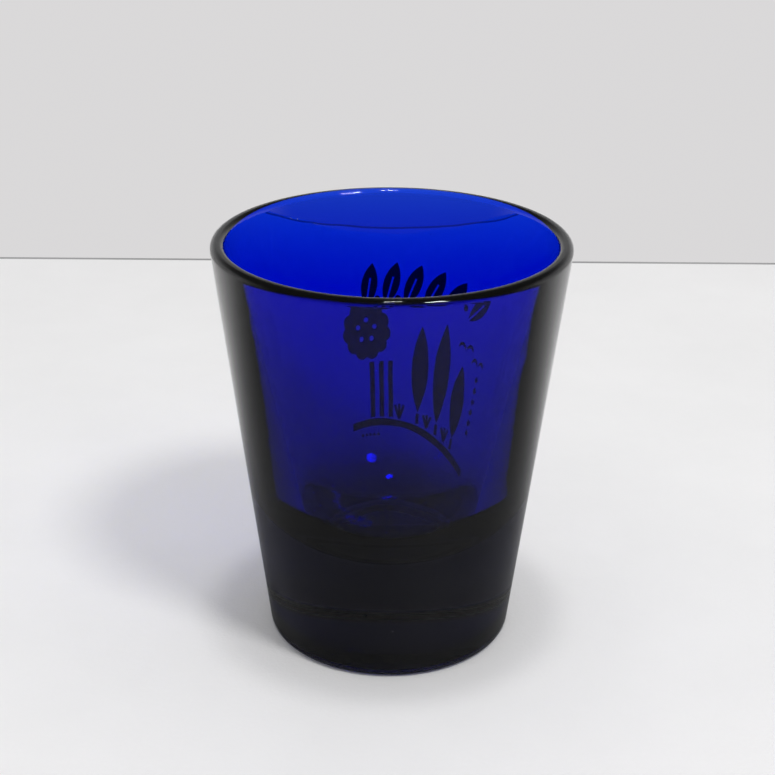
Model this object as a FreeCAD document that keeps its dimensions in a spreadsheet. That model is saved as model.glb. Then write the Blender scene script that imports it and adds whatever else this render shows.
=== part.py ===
# Souvenir shot glass: one pressed tumbler of dark blue glass with a fired enamel print on one side.
# Millimetres. The glass stands on Z = 0, the Z axis is its own axis, and the print faces +Y.
import FreeCAD, Part
import math
import os

import Sketcher
from FreeCAD import Vector

# Driving dimensions. Each becomes a cell of the sheet, with its name as the alias.
SIZES = {
    # Tumbler
    "glass_height": 57.5,
    "rim_diameter": 48.2,  # of the outer cone where it meets the top
    "base_diameter": 34.0,  # of the outer cone where it meets the table
    "rim_wall": 1.9,
    "floor_wall": 6.6,  # wall beside the floor of the cup, where the corner would be sharp
    "floor_height": 14.6,  # middle of the cup's floor above the table
    "floor_dish": 0.3,  # how far the middle of the floor lies below its edge
    "floor_corner": 12.0,  # wide enough to make the bottom of the cup a bowl
    "rim_round": 0.85,
    "heel_round": 1.3,
    "ring_width": 2.6,  # flat ring that the glass stands on
    "punt_depth": 1.4,  # hollow under the base
    "punt_corner": 3.0,
    # Enamel film, and the bare glass that the stencil leaves between two patches
    "film_thickness": 0.08,
    "stencil_gap": 0.3,
    # Garland on an arch over the picture
    "garland_drop": 14.4,  # from the rim down to the middle of the top leaf
    "garland_radius": 33.0,
    "garland_pitch": 3.3,
    "garland_lean": 16.0,  # degrees that a leaf leans over from the arch's own radius
    "leaf_length": 6.6,
    "leaf_width": 2.5,
    "rib_length": 4.4,
    "berry_radius": 0.42,
    "berry_drop": 2.2,
    "picture_drop": 2.2,  # bare glass between the garland and the picture under it
    # Broad tree, whose crown stands to one side of its trunks
    "tree_across": -1.8,
    "crown_shift": -2.6,
    "crown_core_radius": 3.1,
    "crown_lobe_radius": 1.2,
    "crown_light_radius": 0.4,  # round gaps in the crown
    "trunk_length": 8.6,
    "trunk_width": 0.85,
    "trunk_spacing": 1.7,
    # Ground line: the top of a large circle, which the trees stand on
    "ground_across": -2.6,
    "ground_radius": 26.5,
    "ground_width": 1.2,
    "ground_reach_left": 5.0,
    "ground_reach_right": 16.5,
    # Cypress trees
    "cypress_across": 5.6,
    "cypress_pitch": 4.5,
    "cypress_length": 15.0,
    "cypress_width": 3.2,
    "stem_length": 1.8,
    "stem_width": 0.6,
    # Grass, birds, a column of diamonds, and a row of dots under the ground line
    "grass_length": 2.4,
    "grass_width": 0.45,
    "bird_drop": 0.9,  # from the middle of the broad tree's crown
    "wing_radius": 0.8,
    "wing_thickness": 0.45,
    "column_across": 19.0,
    "column_drop": 4.5,
    "diamond_side": 0.75,
    "diamond_pitch": 1.6,
    "row_across": -6.0,
    "row_drop": 1.5,
    "row_pitch": 0.85,
    "row_dot_radius": 0.24,
}

# The print is drawn flat and wrapped round the glass. Across is the distance round the glass from
# the drawing's middle line, positive towards +X.
LEAVES = range(-1, 6)
BERRIES = [place + 0.5 for place in range(-2, 5)]
CROWN_LOBES = 11
CROWN_LIGHTS = 5
TRUNKS = (-1, 0, 1)
CYPRESS_SHARES = (0.85, 1.0, 0.75)  # of cypress_length
GRASS_PLACES = (-0.85, 0.5, 1.5)  # in cypress pitches from the first cypress
GRASS_LEANS = (-20.0, 0.0, 20.0)
BIRD_PLACES = ((2.05, 0.0), (2.85, 1.6))  # in cypress pitches, and millimetres down
DIAMONDS = 6
ROW_DOTS = 5

doc = FreeCAD.newDocument("shot_glass")
sizes = doc.addObject("Spreadsheet::Sheet", "sizes")
for row, (alias, value) in enumerate(SIZES.items(), start=1):
    sizes.set(f"A{row}", alias)
    sizes.set(f"B{row}", str(value))
    sizes.setAlias(f"B{row}", alias)
doc.recompute()

# Formulas over the cells that more than one feature uses
OUTER_SLOPE = "((sizes.rim_diameter - sizes.base_diameter) / 2 / sizes.glass_height)"
FLOOR_EDGE = "(sizes.floor_height + sizes.floor_dish)"
FLOOR_RADIUS = f"(sizes.base_diameter / 2 + {OUTER_SLOPE} * {FLOOR_EDGE} - sizes.floor_wall)"
MOUTH_RADIUS = "(sizes.rim_diameter / 2 - sizes.rim_wall)"
RING_INNER_RADIUS = "(sizes.base_diameter / 2 - sizes.heel_round - sizes.ring_width)"
FILM_OFFSET = f"(sizes.film_thickness * sqrt(1 + {OUTER_SLOPE}^2))"
GARLAND_MIDDLE = "(sizes.glass_height - sizes.garland_drop)"
CROWN_REACH = "(sizes.crown_core_radius + sizes.crown_lobe_radius)"
CROWN_MIDDLE = f"({GARLAND_MIDDLE} - sizes.leaf_length / 2 - sizes.picture_drop - {CROWN_REACH})"
TRUNK_BOTTOM = f"({CROWN_MIDDLE} - {CROWN_REACH} - sizes.stencil_gap - sizes.trunk_length)"
GROUND_TOP = f"({TRUNK_BOTTOM} - sizes.stencil_gap)"
GROUND_CENTRE = f"({GROUND_TOP} - sizes.ground_radius)"
PRINT_RADIUS = f"(sizes.base_diameter / 2 + {OUTER_SLOPE} * {CROWN_MIDDLE})"


# ---- The tumbler ------------------------------------------------------------------------------


def outline(body, name, corners, arc_after):
    """A closed sketch in the XZ plane through corners given as (x, z) formulas. The side after
    corner number arc_after is an arc with its centre on the axis."""
    sketch = body.newObject("Sketcher::SketchObject", name)
    plane = next(item for item in body.Origin.OriginFeatures if item.Role == "XZ_Plane")
    sketch.AttachmentSupport = [(plane, "")]
    sketch.MapMode = "FlatFace"
    for corner, formulas in enumerate(corners):
        sketch.addGeometry(Part.Point(Vector(corner + 1, corner + 1, 0)), True)
        for kind, axis, formula in zip(("DistanceX", "DistanceY"), (-2, -1), formulas):
            if formula == "0":
                sketch.addConstraint(Sketcher.Constraint("PointOnObject", corner, 1, axis))
                continue
            number = sketch.addConstraint(Sketcher.Constraint(kind, -1, 1, corner, 1, corner + 1.0))
            sketch.renameConstraint(number, f"{kind}_{corner}")
            sketch.setExpression(f"Constraints.{kind}_{corner}", formula)
    doc.recompute()

    count = len(corners)
    for corner in range(count):
        following = (corner + 1) % count
        start, end = sketch.getPoint(corner, 1), sketch.getPoint(following, 1)
        if corner == arc_after:
            side = sketch.addGeometry(arc_about_axis(start, end))
            sketch.addConstraint(Sketcher.Constraint("PointOnObject", side, 3, -2))
        else:
            side = sketch.addGeometry(Part.LineSegment(start, end))
        sketch.addConstraint(Sketcher.Constraint("Coincident", side, 1, corner, 1))
        sketch.addConstraint(Sketcher.Constraint("Coincident", side, 2, following, 1))
    doc.recompute()
    return sketch


def arc_about_axis(start, end):
    """The arc from start to end, anticlockwise, with its centre on the sketch's vertical axis."""
    level = (end.x**2 + end.y**2 - start.x**2 - start.y**2) / (2 * (end.y - start.y))
    centre = Vector(0, level, 0)
    angles = [math.atan2(point.y - level, point.x) for point in (start, end)]
    circle = Part.Circle(centre, Vector(0, 0, 1), (start - centre).Length)
    return Part.ArcOfCircle(circle, *angles)


def turned(body, kind, name, sketch):
    """A full Revolution or Groove of a sketch about the glass's axis."""
    feature = body.newObject(f"PartDesign::{kind}", name)
    feature.Profile = sketch
    feature.ReferenceAxis = (sketch, ["V_Axis"])
    feature.Angle = 360
    doc.recompute()
    return feature


def rounded(body, name, radius_formula, *rings):
    """A fillet on circular edges of the body so far, each given by its radius and height."""
    base = body.Tip
    edges = []
    for ring_radius, level in rings:
        for number, edge in enumerate(base.Shape.Edges, start=1):
            if edge.Degenerated or not isinstance(edge.Curve, Part.Circle):
                continue
            if math.hypot(edge.Curve.Radius - ring_radius, edge.Curve.Center.z - level) < 1e-4:
                edges.append(f"Edge{number}")
    assert len(edges) == len(rings), name
    fillet = body.newObject("PartDesign::Fillet", name)
    fillet.Base = (base, edges)
    fillet.setExpression("Radius", radius_formula)
    doc.recompute()
    return fillet


def make_glass_body():
    body = doc.addObject("PartDesign::Body", "glass_body")
    body.Label = "glass_body"

    blank = outline(
        body,
        "blank_outline",
        [
            ("0", "0"),
            ("sizes.base_diameter / 2", "0"),
            ("sizes.rim_diameter / 2", "sizes.glass_height"),
            ("0", "sizes.glass_height"),
        ],
        arc_after=None,
    )
    turned(body, "Revolution", "pressed_blank", blank)

    cup = outline(
        body,
        "plunger_outline",
        [
            ("0", "sizes.floor_height"),
            (FLOOR_RADIUS, FLOOR_EDGE),
            (MOUTH_RADIUS, "sizes.glass_height"),
            ("0", "sizes.glass_height"),
        ],
        arc_after=0,
    )
    solid_volume = body.Shape.Volume
    turned(body, "Groove", "plunger_hollow", cup)
    hollow_volume = body.Shape.Volume
    assert hollow_volume < solid_volume, "the plunger cut nothing"

    punt = outline(
        body,
        "punt_outline",
        [("0", "0"), (RING_INNER_RADIUS, "0"), ("0", "sizes.punt_depth")],
        arc_after=1,
    )
    turned(body, "Groove", "punt_hollow", punt)
    assert body.Shape.Volume < hollow_volume, "the punt cut nothing"

    rim, mouth = blank.getPoint(2, 1), cup.getPoint(2, 1)
    floor_edge, foot, ring = cup.getPoint(1, 1), blank.getPoint(1, 1), punt.getPoint(1, 1)
    rim_formula = "min(sizes.rim_round; 0.45 * sizes.rim_wall)"
    rounded(body, "fire_polished_rim", rim_formula, (rim.x, rim.y), (mouth.x, mouth.y))
    corner_formula = f"min(sizes.floor_corner; {FLOOR_RADIUS})"
    rounded(body, "cup_corner", corner_formula, (floor_edge.x, floor_edge.y))
    rounded(body, "heel", "sizes.heel_round", (foot.x, foot.y))
    rounded(body, "punt_edge", "sizes.punt_corner", (ring.x, ring.y))
    return body


# ---- Stencil shapes ---------------------------------------------------------------------------
# A stencil is a prism through the print side of the glass. Its drawing lies in the XZ plane, and
# put() leans it about Y, lifts it, and turns it about Z to its place round the glass.


def put(stencil, across="0", level="0", lean="0", aside="0", up="0"):
    """Places a stencil. Aside and up move it in its own drawing, before it leans."""
    turn = f"rotation(vector(0; 0; 1); -1deg * ({across}) / {PRINT_RADIUS} * 180 / pi)"
    tilt = f"rotation(vector(0; 1; 0); 1deg * ({lean}))"
    stencil.setExpression(
        "Placement",
        f"placement(vector(0; 0; {level}); {turn} * {tilt})"
        f" * placement(vector({aside}; 0; {up}); rotation(vector(1; 0; 0); 0deg))",
    )
    return stencil


def disc(name, radius, across="0", up="0"):
    cylinder = doc.addObject("Part::Cylinder", name)
    cylinder.setExpression("Radius", radius)
    cylinder.setExpression("Height", "sizes.rim_diameter")
    cylinder.setExpression(
        "Placement", f"placement(vector({across}; 0; {up}); rotation(vector(1; 0; 0); -90deg))"
    )
    return cylinder


def bar(name, width, length, up="0"):
    """An upright rectangle that stands on a level, with its middle on X = 0."""
    box = doc.addObject("Part::Box", name)
    box.setExpression("Length", width)
    box.setExpression("Height", length)
    box.setExpression("Width", "sizes.rim_diameter")
    box.setExpression("Placement.Base.x", f"-({width}) / 2")
    box.setExpression("Placement.Base.z", up)
    return box


def combined(kind, name, shapes):
    """A Part::Cut or Part::Common of two shapes, or a Part::MultiFuse of several."""
    result = doc.addObject(f"Part::{kind}", name)
    if kind == "MultiFuse":
        result.Shapes = shapes
    else:
        result.Base, result.Tool = shapes
    return result


def drawing(name, *shapes):
    """Shapes drawn at the origin, as one stencil that put() can place."""
    group = doc.addObject("Part::Compound", name)
    group.Links = list(shapes)
    return group


def pointed_oval(name, width, length):
    """The lens between two equal arcs, upright, with its middle at the origin."""
    arc = f"((({length})^2 + ({width})^2) / (4 * ({width})))"
    shift = f"({arc} - ({width}) / 2)"
    sides = [
        disc(f"{name}_left_arc", arc, across=f"-{shift}"),
        disc(f"{name}_right_arc", arc, across=shift),
    ]
    return combined("Common", name, sides)


# ---- Print ------------------------------------------------------------------------------------


def make_film():
    """The enamel as a thin shell all round the outer cone, which the stencils cut into patches."""
    cones = []
    for name, offset in (("film_outside", FILM_OFFSET), ("film_inside", "0")):
        cone = doc.addObject("Part::Cone", name)
        cone.setExpression("Radius1", f"sizes.base_diameter / 2 + {offset}")
        cone.setExpression("Radius2", f"sizes.rim_diameter / 2 + {offset}")
        cone.setExpression("Height", "sizes.glass_height")
        cones.append(cone)
    return combined("Cut", "enamel_film", cones)


def printed(name, stencils):
    """One node of the print: the patch of film that each stencil lets through."""
    patches = [combined("Common", f"{stencil.Name}_patch", [film, stencil]) for stencil in stencils]
    node = doc.addObject("Part::Compound", name)
    node.Label = name
    node.Links = patches
    return node


def arch(place):
    """The across, level and lean on the garland's arch, a number of pitches from its top."""
    across = f"({place} * sizes.garland_pitch)"
    level = (
        f"({GARLAND_MIDDLE} - sizes.garland_radius"
        f" + sqrt(sizes.garland_radius^2 - {across}^2))"
    )
    lean = f"(asin({across} / sizes.garland_radius) / 1deg + sizes.garland_lean)"
    return {"across": across, "level": level, "lean": lean}


def ground_level(across):
    """The level that a plant stands on: a stencil gap over the ground line at the stem's high side.
    The glass is measured at the line's low end, where it is narrowest, so the gap never closes."""
    low_end = f"({GROUND_CENTRE} + sqrt(sizes.ground_radius^2 - sizes.ground_reach_right^2))"
    low_radius = f"(sizes.base_diameter / 2 + {OUTER_SLOPE} * {low_end})"
    run = f"({across} - sizes.stem_width / 2 - sizes.ground_across)"
    turn = f"({run} / {PRINT_RADIUS} * 180 / pi * 1deg)"
    return (
        f"({GROUND_CENTRE} + sizes.stencil_gap"
        f" + sqrt(sizes.ground_radius^2 - ({low_radius} * sin({turn}))^2))"
    )


def garland_leaves():
    leaves = []
    for number, place in enumerate(LEAVES, start=1):
        blade = pointed_oval(f"blade_{number}", "sizes.leaf_width", "sizes.leaf_length")
        rib = bar(f"rib_{number}", "sizes.stencil_gap", "sizes.rib_length", "-sizes.leaf_length / 2")
        leaves.append(put(combined("Cut", f"leaf_{number}", [blade, rib]), **arch(place)))
    return leaves


def garland_berries():
    berries = []
    for number, place in enumerate(BERRIES, start=1):
        berry = disc(f"berry_disc_{number}", "sizes.berry_radius", up="-sizes.berry_drop")
        berries.append(put(drawing(f"berry_{number}", berry), **arch(place)))
    return berries


def tree_crown():
    core = disc("crown_core", "sizes.crown_core_radius")
    lobes = ring_of_discs("crown_lobe", CROWN_LOBES, "sizes.crown_core_radius", "crown_lobe_radius")
    lights = ring_of_discs(
        "crown_light", CROWN_LIGHTS, "sizes.crown_core_radius / 2", "crown_light_radius"
    )
    leafage = combined("MultiFuse", "crown_leafage", [core, *lobes])
    gaps = combined("MultiFuse", "crown_lights", lights)
    crown = combined("Cut", "crown", [leafage, gaps])
    return [put(crown, across="sizes.tree_across + sizes.crown_shift", level=CROWN_MIDDLE)]


def ring_of_discs(name, count, reach, radius_alias):
    discs = []
    for number in range(count):
        angle = 360 * number / count
        across = f"{reach} * sin({angle}deg)"
        up = f"{reach} * cos({angle}deg)"
        discs.append(disc(f"{name}_{number + 1}", f"sizes.{radius_alias}", across, up))
    return discs


def tree_trunks():
    trunks = []
    for number, place in enumerate(TRUNKS, start=1):
        post = bar(f"trunk_{number}", "sizes.trunk_width", "sizes.trunk_length")
        trunks.append(
            put(
                drawing(f"trunk_stencil_{number}", post),
                across="sizes.tree_across",
                level=TRUNK_BOTTOM,
                aside=f"{place} * sizes.trunk_spacing",
            )
        )
    return trunks


def ground_line():
    outer = disc("ground_outside", "sizes.ground_radius")
    inner = disc("ground_inside", "sizes.ground_radius - sizes.ground_width")
    band = combined("Cut", "ground_band", [outer, inner])
    span = doc.addObject("Part::Box", "ground_span")
    span.setExpression("Length", "sizes.ground_reach_left + sizes.ground_reach_right")
    span.setExpression("Width", "sizes.rim_diameter")
    span.setExpression("Height", "sizes.ground_radius")
    span.setExpression("Placement.Base.x", "-sizes.ground_reach_left")
    arc = combined("Common", "ground_arc", [band, span])
    return [put(arc, across="sizes.ground_across", level=GROUND_CENTRE)]


def cypress_place(number):
    return f"(sizes.cypress_across + {number} * sizes.cypress_pitch)"


def cypress_crowns():
    crowns = []
    for number, share in enumerate(CYPRESS_SHARES):
        length = f"({share} * sizes.cypress_length)"
        across = cypress_place(number)
        crown = pointed_oval(f"cypress_{number + 1}", "sizes.cypress_width", length)
        up = f"sizes.stem_length + sizes.stencil_gap + {length} / 2"
        crowns.append(put(crown, across=across, level=ground_level(across), up=up))
    return crowns


def cypress_stems():
    stems = []
    for number in range(len(CYPRESS_SHARES)):
        across = cypress_place(number)
        post = bar(f"stem_{number + 1}", "sizes.stem_width", "sizes.stem_length")
        stencil = drawing(f"stem_stencil_{number + 1}", post)
        stems.append(put(stencil, across=across, level=ground_level(across)))
    return stems


def grass_tufts():
    tufts = []
    for number, place in enumerate(GRASS_PLACES, start=1):
        across = cypress_place(place)
        blades = []
        for blade_number, lean in enumerate(GRASS_LEANS, start=1):
            post = bar(f"grass_{number}_{blade_number}", "sizes.grass_width", "sizes.grass_length")
            leaning = drawing(f"grass_blade_{number}_{blade_number}", post)
            blades.append(put(leaning, lean=str(lean)))
        tuft = combined("MultiFuse", f"grass_tuft_{number}", blades)
        tufts.append(put(tuft, across=across, level=ground_level(across)))
    return tufts


def birds():
    wings = []
    for number, (place, drop) in enumerate(BIRD_PLACES, start=1):
        for side, word in ((-1, "left"), (1, "right")):
            name = f"bird_{number}_{word}"
            above = disc(f"{name}_above", "sizes.wing_radius")
            below = disc(f"{name}_below", "sizes.wing_radius", up="-sizes.wing_thickness")
            wings.append(
                put(
                    combined("Cut", name, [above, below]),
                    across=cypress_place(place),
                    level=f"{CROWN_MIDDLE} - sizes.bird_drop - {drop}",
                    aside=f"{side} * (sizes.wing_radius + sizes.stencil_gap / 2)",
                )
            )
    return wings


def side_diamonds():
    diamonds = []
    for number in range(DIAMONDS):
        square = bar(
            f"diamond_square_{number + 1}",
            "sizes.diamond_side",
            "sizes.diamond_side",
            "-sizes.diamond_side / 2",
        )
        diamonds.append(
            put(
                drawing(f"diamond_{number + 1}", square),
                across="sizes.column_across",
                level=f"{CROWN_MIDDLE} - sizes.column_drop - {number} * sizes.diamond_pitch",
                lean="45",
            )
        )
    return diamonds


def row_dots():
    dots = []
    for number in range(ROW_DOTS):
        dot = disc(f"row_disc_{number + 1}", "sizes.row_dot_radius")
        dots.append(
            put(
                drawing(f"row_dot_{number + 1}", dot),
                across=f"sizes.row_across + {number} * sizes.row_pitch",
                level=f"{GROUND_TOP} - sizes.ground_width - sizes.row_drop",
            )
        )
    return dots


# ---- Nodes ------------------------------------------------------------------------------------

glass_body = make_glass_body()
film = make_film()
nodes = [
    glass_body,
    printed("print_garland_leaves", garland_leaves()),
    printed("print_garland_berries", garland_berries()),
    printed("print_tree_crown", tree_crown()),
    printed("print_tree_trunks", tree_trunks()),
    printed("print_ground_line", ground_line()),
    printed("print_cypress_crowns", cypress_crowns()),
    printed("print_cypress_stems", cypress_stems()),
    printed("print_grass_tufts", grass_tufts()),
    printed("print_birds", birds()),
    printed("print_side_diamonds", side_diamonds()),
    printed("print_row_dots", row_dots()),
]
doc.recompute()

for item in doc.Objects:
    for fault in ("Invalid", "Error"):
        assert fault not in item.State, f"{item.Label}: {item.State}"
for node in nodes:
    assert not node.Shape.isNull(), f"{node.Label} has no shape"
    assert node.Shape.isValid(), f"{node.Label} has a shape that is not valid"
    assert node.Shape.Solids, f"{node.Label} holds no solid"

os.makedirs("parts", exist_ok=True)
for node in nodes:
    node.Shape.exportStep(f"parts/{node.Label}.step")
    print(f"{node.Label}: {len(node.Shape.Solids)} solids, {node.Shape.Volume:.3f} mm3")
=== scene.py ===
import math

import bmesh
import bpy
from mathutils import Matrix, Vector, noise


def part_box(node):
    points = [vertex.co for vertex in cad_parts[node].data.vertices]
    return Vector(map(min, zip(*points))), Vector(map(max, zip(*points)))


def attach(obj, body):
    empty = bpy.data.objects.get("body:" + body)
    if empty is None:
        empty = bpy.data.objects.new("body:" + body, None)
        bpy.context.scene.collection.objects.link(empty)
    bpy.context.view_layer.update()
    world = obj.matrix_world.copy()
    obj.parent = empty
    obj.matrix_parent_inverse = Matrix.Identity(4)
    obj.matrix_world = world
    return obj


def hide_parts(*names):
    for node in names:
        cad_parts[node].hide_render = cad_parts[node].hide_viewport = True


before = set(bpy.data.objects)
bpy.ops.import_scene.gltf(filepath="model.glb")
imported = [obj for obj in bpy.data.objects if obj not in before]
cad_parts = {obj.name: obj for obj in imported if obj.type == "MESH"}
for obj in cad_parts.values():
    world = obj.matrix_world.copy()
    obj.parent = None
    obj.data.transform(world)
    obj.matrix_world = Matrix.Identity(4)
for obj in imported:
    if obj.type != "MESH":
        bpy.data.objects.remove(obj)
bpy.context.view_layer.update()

MM = 0.001

# ---- Sizes of the tumbler, in millimetres, as its CAD body has them ------------------------------
_, glass_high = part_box("glass_body")
HEIGHT = glass_high.z / MM
RIM_RADIUS = 24.1  # of the outer cone where it meets the top
BASE_RADIUS = 17.0  # of the outer cone where it meets the table
RIM_WALL = 1.9
FLOOR_WALL = 6.6
FLOOR_HEIGHT = 14.6
FLOOR_DISH = 0.3
FLOOR_CORNER = 12.0
RIM_ROUND = 0.85
HEEL_ROUND = 1.3
RING_WIDTH = 2.6
PUNT_DEPTH = 1.4
PUNT_CORNER = 3.0
FILM_THICKNESS = 0.08

OUTER_SLOPE = (RIM_RADIUS - BASE_RADIUS) / HEIGHT

MERGE_DISTANCE = 0.0005 * MM  # vertices nearer than this are one


# ---- Shader nodes --------------------------------------------------------------------------------


class Wire:
    """An output of a shader node. Arithmetic on it adds Math nodes to the same tree."""

    def __init__(self, shader, socket):
        self.shader = shader
        self.socket = socket

    def math(self, operation, first, second):
        inputs = {0: first, 1: second}
        return self.shader.node("Math", inputs, operation=operation)

    def __add__(self, other):
        return self.math("ADD", self, other)

    def __radd__(self, other):
        return self.math("ADD", other, self)

    def __sub__(self, other):
        return self.math("SUBTRACT", self, other)

    def __rsub__(self, other):
        return self.math("SUBTRACT", other, self)

    def __mul__(self, other):
        return self.math("MULTIPLY", self, other)

    def __rmul__(self, other):
        return self.math("MULTIPLY", other, self)


class Shader:
    """The node tree of a material or a world, emptied and ready to fill."""

    def __init__(self, owner):
        owner.use_nodes = True
        self.tree = owner.node_tree
        self.tree.nodes.clear()

    def node(self, kind, inputs=None, output=0, **settings):
        """Adds a node, sets it up, fills its sockets and gives one of its outputs."""
        node = self.tree.nodes.new("ShaderNode" + kind)
        for name, value in settings.items():
            setattr(node, name, value)
        for name, value in (inputs or {}).items():
            if isinstance(value, Wire):
                self.tree.links.new(value.socket, node.inputs[name])
            else:
                node.inputs[name].default_value = value
        return Wire(self, node.outputs[output]) if node.outputs else node

    def place(self, offset=(0.0, 0.0, 0.0)):
        """Object coordinates in millimetres, moved by an offset."""
        where = self.node("TexCoord", output="Object")
        scale = (1.0 / MM, 1.0 / MM, 1.0 / MM)
        return self.node("Mapping", {"Vector": where, "Location": offset, "Scale": scale})

    def grain(self, scale, detail=2.0, roughness=0.5, offset=(0.0, 0.0, 0.0)):
        """Noise from 0 to 1 with features about 1 / scale millimetres apart."""
        where = self.place(offset)
        inputs = {"Vector": where, "Scale": scale, "Detail": detail, "Roughness": roughness}
        return self.node("TexNoise", inputs)

    def band(self, value, low, high):
        """The value stretched so that low gives 0 and high gives 1, and held there beyond."""
        inputs = {"Value": value, "From Min": low, "From Max": high, "To Min": 0.0, "To Max": 1.0}
        return self.node("MapRange", inputs, interpolation_type="SMOOTHSTEP")

    def blend(self, amount, first, second):
        """A colour between two."""
        inputs = {"Factor": amount, 6: first, 7: second}
        return self.node("Mix", inputs, output=2, data_type="RGBA")

    def mirrored(self, share):
        """A share that counts only in what a glossy surface mirrors."""
        glossy = self.node("LightPath", output="Is Glossy Ray")
        through = self.node("LightPath", output="Is Transmission Ray")
        return glossy * (1.0 - through) * share

    def bump(self, height, distance, strength):
        """A normal from a height of 0 to 1 that stands for a distance in millimetres."""
        inputs = {"Height": height, "Distance": distance * MM, "Strength": strength}
        return self.node("Bump", inputs)


def material(name):
    made = bpy.data.materials.new(name)
    return made, Shader(made)


def cobalt_glass():
    """Glass coloured through its thickness, so thin walls are blue and the base is near black."""
    made, shader = material("cobalt_glass")
    ripple = shader.grain(0.16, detail=1.0, offset=(4.0, 9.0, 2.0))
    smear = shader.band(shader.grain(0.22, detail=4.0, roughness=0.6), 0.52, 0.78)
    ripple_height = 0.03  # millimetres
    polished, smeared = 0.004, 0.03  # roughness where clean, and what a smear adds
    surface = shader.node(
        "BsdfPrincipled",
        {
            "Base Color": (1.0, 1.0, 1.0, 1.0),
            "Roughness": polished + smear * smeared,
            "IOR": 1.5,
            "Transmission Weight": 1.0,
            "Normal": shader.bump(ripple, ripple_height, strength=0.5),
        },
    )
    absorbed_per_mm = (2.5, 1.48, 0.14)
    densest = max(absorbed_per_mm)
    colour = [1.0 - absorbed / densest for absorbed in absorbed_per_mm]
    body = shader.node("VolumeAbsorption", {"Color": (*colour, 1.0), "Density": densest / MM})
    shader.node("OutputMaterial", {"Surface": surface, "Volume": body})
    return made


def black_enamel():
    """Fired screen-print enamel: black, half glossy, with a fine orange peel and a few pinholes."""
    made, shader = material("black_enamel")
    peel = shader.grain(5.0, detail=3.0)
    patches = shader.grain(1.4, detail=5.0, roughness=0.65, offset=(3.0, 1.0, 7.0))
    worn = shader.band(patches, 0.60, 0.80)
    cells = {"Vector": shader.place(), "Scale": 2.6}
    solid = shader.band(shader.node("TexVoronoi", cells, output="Distance"), 0.05, 0.09)
    black, thin_black = (0.006, 0.006, 0.008, 1.0), (0.022, 0.022, 0.028, 1.0)
    peel_height = 0.02  # millimetres
    surface = shader.node(
        "BsdfPrincipled",
        {
            "Base Color": shader.blend(worn, black, thin_black),
            "Roughness": 0.28 + peel * 0.12 + worn * 0.2,
            "Alpha": solid,
            "Normal": shader.bump(peel, peel_height, strength=0.6),
        },
    )
    shader.node("OutputMaterial", {"Surface": surface})
    return made


def pale_board():
    """The white board under the glass. Where the glass mirrors its near part, that part is painted
    dark grey: painted shade in the reflections, as if behind a card.
    """
    made, shader = material("pale_board")
    mottle = shader.grain(0.035, detail=6.0, roughness=0.6)
    tooth = shader.grain(1.6, detail=4.0, roughness=0.6)
    white = shader.blend(mottle, (0.80, 0.795, 0.79, 1.0), (0.88, 0.875, 0.87, 1.0))
    depth = shader.node("SeparateXYZ", {"Vector": shader.place()}, output="Y")
    clear_from, hidden_from = 90.0, 0.0  # millimetres behind the middle of the glass
    # Painted shade in reflections: the board near the glass is dark grey in what the glass mirrors
    near = shader.mirrored(shader.band(depth, clear_from, hidden_from))
    tooth_height = 0.12  # millimetres
    surface = shader.node(
        "BsdfPrincipled",
        {
            "Base Color": shader.blend(near, white, (0.2, 0.2, 0.2, 1.0)),
            "Roughness": 0.6,
            "Normal": shader.bump(tooth, tooth_height, strength=0.5),
        },
    )
    shader.node("OutputMaterial", {"Surface": surface})
    return made


def painted_seam_shadow():
    """A dark grey strip along the board's back edge: painted shade where the board meets the wall
    behind it.
    """
    made, shader = material("painted_seam_shadow")
    # Noise that makes the painted shade uneven
    depth = shader.grain(0.02, detail=2.0)
    grey = shader.blend(depth, (0.18, 0.18, 0.18, 1.0), (0.42, 0.42, 0.42, 1.0))
    surface = shader.node("BsdfPrincipled", {"Base Color": grey, "Roughness": 0.9})
    shader.node("OutputMaterial", {"Surface": surface})
    return made


# ---- Outlines in the (radius, height) half plane, in millimetres ---------------------------------


def arc(centre, start, end, steps):
    """Points on the short way round from start to end, both included."""
    spoke = start - centre
    turn = spoke.angle_signed(end - centre)
    turned = []
    for step in range(steps + 1):
        angle = -turn * step / steps
        cosine, sine = math.cos(angle), math.sin(angle)
        across = spoke.x * cosine - spoke.y * sine
        up = spoke.x * sine + spoke.y * cosine
        turned.append(centre + Vector((across, up)))
    return turned


def straight(start, end, steps):
    """Evenly spaced points between two, and one close to each end, so the shading stays crisp."""
    near_end = 0.15  # millimetres
    close = near_end / (end - start).length
    shares = [close] + [step / steps for step in range(1, steps)] + [1 - close]
    return [start.lerp(end, share) for share in shares]


def corner_round(corner, before, after, radius, steps):
    """An arc tangent to the two straight sides of a corner, which run towards before and after."""
    back = (before - corner).normalized()
    on = (after - corner).normalized()
    half = back.angle(on) / 2
    reach = radius / math.tan(half)
    centre = corner + (back + on).normalized() * radius / math.sin(half)
    return arc(centre, corner + back * reach, corner + on * reach, steps)


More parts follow.
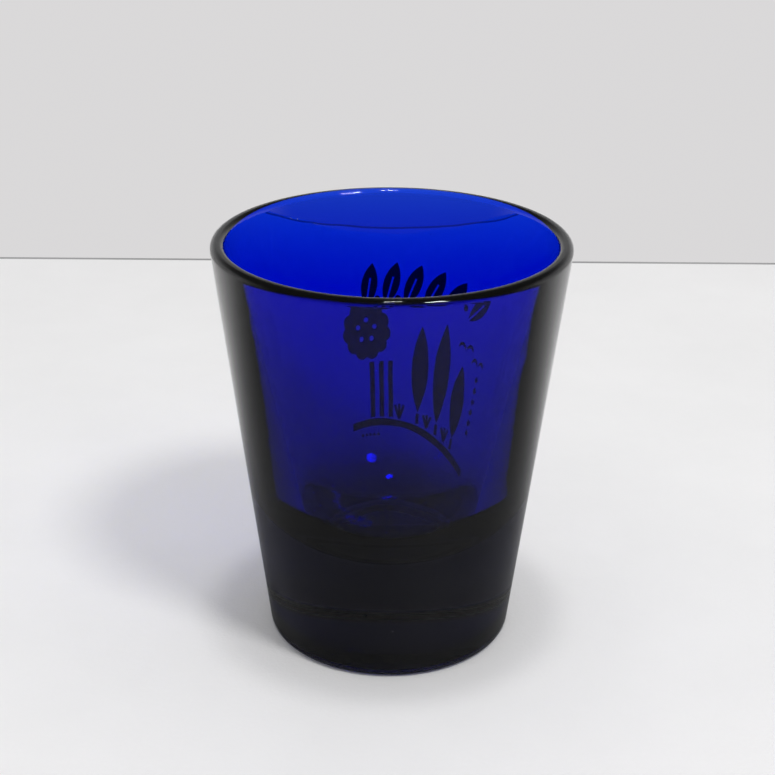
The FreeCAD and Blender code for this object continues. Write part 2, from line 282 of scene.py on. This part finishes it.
def glass_outline():
    """From the axis under the base, round the outside and over the rim, to the axis in the cup."""
    foot, rim = Vector((BASE_RADIUS, 0)), Vector((RIM_RADIUS, HEIGHT))
    mouth = Vector((RIM_RADIUS - RIM_WALL, HEIGHT))
    floor_edge_height = FLOOR_HEIGHT + FLOOR_DISH
    floor_edge_radius = BASE_RADIUS + OUTER_SLOPE * floor_edge_height - FLOOR_WALL
    floor_edge = Vector((floor_edge_radius, floor_edge_height))

    # Hollow under the base: a shallow dome, rounded where it meets the standing ring
    ring = BASE_RADIUS - HEEL_ROUND - RING_WIDTH
    dome_radius = (ring**2 + PUNT_DEPTH**2) / (2 * PUNT_DEPTH)
    dome_centre = Vector((0, PUNT_DEPTH - dome_radius))
    lip_height = PUNT_CORNER - dome_centre.y
    lip_centre = Vector((math.sqrt((dome_radius + PUNT_CORNER) ** 2 - lip_height**2), PUNT_CORNER))
    lip_start = dome_centre + (lip_centre - dome_centre) * dome_radius / (dome_radius + PUNT_CORNER)
    lip_end = Vector((lip_centre.x, 0))

    # Bottom of the cup: a nearly flat dish, and a wide round up into the wall
    dish_radius = (floor_edge.x**2 + FLOOR_DISH**2) / (2 * FLOOR_DISH)
    dish_centre = Vector((0, FLOOR_HEIGHT + dish_radius))
    down = (floor_edge - mouth).normalized()
    inward = Vector((down.y, -down.x))
    from_dish = mouth + inward * FLOOR_CORNER - dish_centre
    along = from_dish.dot(down)
    spare = (dish_radius - FLOOR_CORNER) ** 2 - from_dish.length_squared + along**2
    bowl_centre = mouth + inward * FLOOR_CORNER + down * (math.sqrt(spare) - along)
    bowl_start = bowl_centre - inward * FLOOR_CORNER
    bowl_direction = (bowl_centre - dish_centre) / (dish_radius - FLOOR_CORNER)
    bowl_end = dish_centre + bowl_direction * dish_radius

    round_steps, dome_steps, lip_steps = 14, 16, 4
    foot_steps, outside_steps, inside_steps = 2, 36, 24
    bowl_steps, dish_steps = 40, 8
    heel = corner_round(foot, Vector((0, 0)), rim, HEEL_ROUND, round_steps)
    outer_lip = corner_round(rim, foot, mouth, RIM_ROUND, round_steps)
    inner_lip = corner_round(mouth, rim, floor_edge, RIM_ROUND, round_steps)
    points = arc(dome_centre, Vector((0, PUNT_DEPTH)), lip_start, dome_steps)
    points += arc(lip_centre, lip_start, lip_end, lip_steps)[1:]
    points += straight(lip_end, heel[0], foot_steps)
    points += heel
    points += straight(heel[-1], outer_lip[0], outside_steps)
    points += outer_lip
    points += straight(outer_lip[-1], inner_lip[0], 1)[:1]
    points += inner_lip
    points += straight(inner_lip[-1], bowl_start, inside_steps)
    points += arc(bowl_centre, bowl_start, bowl_end, bowl_steps)
    points += arc(dish_centre, bowl_end, Vector((0, FLOOR_HEIGHT)), dish_steps)[1:]
    return points


# ---- Meshes --------------------------------------------------------------------------------------


def finished(mesh_data, name, surface, node):
    """Makes a piece of a bmesh, which stands for a CAD node and moves with it."""
    mesh = bpy.data.meshes.new(name)
    mesh_data.to_mesh(mesh)
    mesh_data.free()
    piece = bpy.data.objects.new(name, mesh)
    bpy.context.scene.collection.objects.link(piece)
    piece.data.materials.append(surface)
    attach(piece, "root")
    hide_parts(node)
    return piece


def tumbler(surface):
    """The glass: its section spun about the axis, with the faint ripple that pressing leaves."""
    around = 256
    spun = bmesh.new()
    previous = None
    for point in glass_outline():
        vertex = spun.verts.new((point.x * MM, 0, point.y * MM))
        if previous:
            spun.edges.new((previous, vertex))
        previous = vertex
    bmesh.ops.spin(
        spun,
        geom=spun.verts[:] + spun.edges[:],
        axis=(0, 0, 1),
        cent=(0, 0, 0),
        angle=2 * math.pi,
        steps=around,
        use_merge=True,
    )
    bmesh.ops.remove_doubles(spun, verts=spun.verts, dist=MERGE_DISTANCE)
    bmesh.ops.recalc_face_normals(spun, faces=spun.faces)
    for face in spun.faces:
        face.smooth = True
    ripple_glass(spun)
    add_seeds(spun)
    return finished(spun, "tumbler", surface, "glass_body")


def ripple_glass(spun):
    """Moves the inside of the cup in and out a little. The bowl, chilled first, ripples most."""
    wall_ripple, bowl_ripple = 0.006 * MM, 0.03 * MM
    wave_length = 5.5 * MM
    wave_start = Vector((2.3, 0.7, 5.1))
    bowl_top = FLOOR_HEIGHT + FLOOR_CORNER
    least_depth = RIM_WALL * 0.75  # under the outside, where the inner surface begins
    least_height = FLOOR_HEIGHT - 1
    for vertex in spun.verts:
        radius = Vector((vertex.co.x, vertex.co.y)).length / MM
        height = vertex.co.z / MM
        outside = BASE_RADIUS + OUTER_SLOPE * height
        if radius >= outside - least_depth or height <= least_height:
            continue
        depth = max(0.0, min(1.0, (bowl_top - height) / FLOOR_CORNER))
        amount = wall_ripple + (bowl_ripple - wall_ripple) * depth
        wave = noise.noise(vertex.co / wave_length + wave_start)
        vertex.co += vertex.normal * amount * wave


def add_seeds(spun):
    """Seeds: the few tiny air bubbles in the walls and base of cheap glass, as closed hollows."""
    places = (  # angle round the glass in degrees, height, depth under the outside, radius
        (-118.0, 41.0, 0.9, 0.10),
        (-72.0, 33.5, 1.2, 0.08),
        (-101.0, 9.5, 3.0, 0.14),
        (-63.0, 12.5, 2.2, 0.10),
        (-88.0, 6.2, 5.5, 0.16),
        (-140.0, 25.0, 1.5, 0.11),
        (-38.0, 20.0, 1.3, 0.09),
        (12.0, 47.0, 0.9, 0.09),
        (48.0, 30.0, 1.6, 0.12),
        (150.0, 38.0, 1.1, 0.10),
        (118.0, 14.0, 3.6, 0.13),
        (75.0, 51.0, 1.0, 0.08),
        (-160.0, 8.0, 4.0, 0.12),
        (96.0, 7.0, 2.4, 0.10),
    )
    for degrees, height, depth, radius in places:
        reach = (BASE_RADIUS + OUTER_SLOPE * height - depth) * MM
        angle = math.radians(degrees)
        where = Matrix.Translation((reach * math.cos(angle), reach * math.sin(angle), height * MM))
        made = bmesh.ops.create_icosphere(spun, subdivisions=2, radius=radius * MM, matrix=where)
        faces = {face for vertex in made["verts"] for face in vertex.link_faces}
        bmesh.ops.reverse_faces(spun, faces=list(faces))
        for face in faces:
            face.smooth = True


def enamel_patch(node, surface):
    """A print node as smooth film: its own outline, refined and set onto the curve of the glass."""
    longest_edge = 0.5 * MM
    refinements = 4
    sunk = 0.012  # how far the fired enamel is let into the glass, in millimetres
    crease = math.radians(40)
    film = bmesh.new()
    film.from_mesh(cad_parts[node].data)
    bmesh.ops.remove_doubles(film, verts=film.verts, dist=MERGE_DISTANCE)
    for _ in range(refinements):
        long_edges = [edge for edge in film.edges if edge.calc_length() > longest_edge]
        if not long_edges:
            break
        bmesh.ops.subdivide_edges(film, edges=long_edges, cuts=1)
        bmesh.ops.triangulate(film, faces=film.faces)
    for vertex in film.verts:
        flat = Vector((vertex.co.x, vertex.co.y))
        cone = BASE_RADIUS + OUTER_SLOPE * vertex.co.z / MM
        outside = flat.length / MM - cone > FILM_THICKNESS / 2
        radius = (cone + FILM_THICKNESS if outside else cone - sunk) * MM
        flat *= radius / flat.length
        vertex.co.x, vertex.co.y = flat
    film.normal_update()
    for edge in film.edges:
        if len(edge.link_faces) == 2:
            edge.smooth = edge.calc_face_angle() < crease
    for face in film.faces:
        face.smooth = True
    return finished(film, node.replace("print_", "enamel_"), surface, node)


# ---- Studio --------------------------------------------------------------------------------------


def flat_sheet(name, low, high, surface):
    """A level rectangle of the studio's set, from one corner to the other."""
    sheet = bmesh.new()
    middle, half = (high + low) / 2, (high - low) / 2
    place = Matrix.Translation((middle.x, middle.y, 0)) @ Matrix.Diagonal((half.x, half.y, 1, 1))
    bmesh.ops.create_grid(sheet, x_segments=1, y_segments=1, size=1, matrix=place)
    mesh = bpy.data.meshes.new(name)
    sheet.to_mesh(mesh)
    sheet.free()
    laid = bpy.data.objects.new(name, mesh)
    bpy.context.scene.collection.objects.link(laid)
    laid.data.materials.append(surface)


def board():
    """A pale board. It ends a hand's length behind the glass, against a pale grey wall."""
    side, front, back, seam_shadow_width = 900 * MM, -900 * MM, 156 * MM, 1.2 * MM
    flat_sheet("board", Vector((-side, front)), Vector((side, back)), pale_board())
    # Painted shade: a dark grey strip along the seam between the board and the wall
    flat_sheet("board_seam_shadow", Vector((-side, back)), Vector((side, back + seam_shadow_width)), painted_seam_shadow())


def lamp(name, direction, width, power, lights_board=True):
    """A round soft light that faces the middle of the glass from a direction."""
    distance = 0.9  # metres
    light = bpy.data.lights.new(name, "AREA")
    light.shape = "DISK"
    light.size = width
    light.energy = power
    holder = bpy.data.objects.new(name, light)
    bpy.context.scene.collection.objects.link(holder)
    holder.visible_diffuse = lights_board
    aim = Vector(direction).normalized()
    holder.location = Vector((0, 0, HEIGHT / 2 * MM)) + aim * distance
    holder.rotation_euler = aim.to_track_quat("Z", "Y").to_euler()


def studio():
    """A pale room, with a lamp overhead and a key lamp over the right shoulder."""
    world = bpy.data.worlds.new("studio")
    bpy.context.scene.world = world
    shader = Shader(world)
    direction = shader.node("TexCoord", output="Generated")
    up = shader.node("SeparateXYZ", {"Vector": direction}, output="Z")
    wall, ceiling = (0.700, 0.690, 0.695, 1.0), (0.66, 0.66, 0.67, 1.0)
    room = shader.blend(shader.band(up, -0.05, 0.25), wall, ceiling)

    # What the glass mirrors dimly: all but the low part of the room behind it
    away = shader.node("SeparateXYZ", {"Vector": direction}, output="Y")
    behind = shader.band(away, -0.3, 0.3) * shader.band(up, 0.6, 0.1)
    hidden = shader.mirrored(1.0 - behind)
    colour = shader.blend(hidden, room, (0.10, 0.10, 0.10, 1.0))
    shader.node("OutputWorld", {"Surface": shader.node("Background", {"Color": colour})})

    lamps = (  # name, direction, width in metres, power, power of its twin
        ("overhead", (0.01, -0.04, 1.0), 0.10, 1.3, 1.6),
        ("key", (0.35, -0.43, 0.83), 0.18, 2.8, 3.0),
    )
    for name, towards, width, power, glint in lamps:
        lamp(name, towards, width, power)
        # The twin adds to the highlights on the glass and leaves the board as bright as it was
        lamp(name + "_glint", towards, width, glint, lights_board=False)
    bpy.context.scene.view_settings.view_transform = "Standard"


def camera():
    """Eye level a little over a drinker's hand, looking down into the glass."""
    look_down, turn, lean = 23.585, 0.121, 0.392  # degrees
    distance, height = 204.1 * MM, 125.0 * MM
    view = bpy.data.cameras.new("camera")
    view.sensor_width = 36.0
    view.lens = 75.24
    view.clip_start = 0.01
    holder = bpy.data.objects.new("camera", view)
    bpy.context.scene.collection.objects.link(holder)
    place = Matrix.Translation((0, -distance, height))
    turned = Matrix.Rotation(math.radians(turn), 4, "Z")
    tilted = Matrix.Rotation(math.radians(90 - look_down), 4, "X")
    leaned = Matrix.Rotation(math.radians(lean), 4, "Z")
    holder.matrix_world = place @ turned @ tilted @ leaned
    bpy.context.scene.camera = holder


# ---- The scene -----------------------------------------------------------------------------------

glass = cobalt_glass()
enamel = black_enamel()
tumbler(glass)
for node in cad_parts:
    if node.startswith("print_"):
        enamel_patch(node, enamel)
board()
studio()
camera()
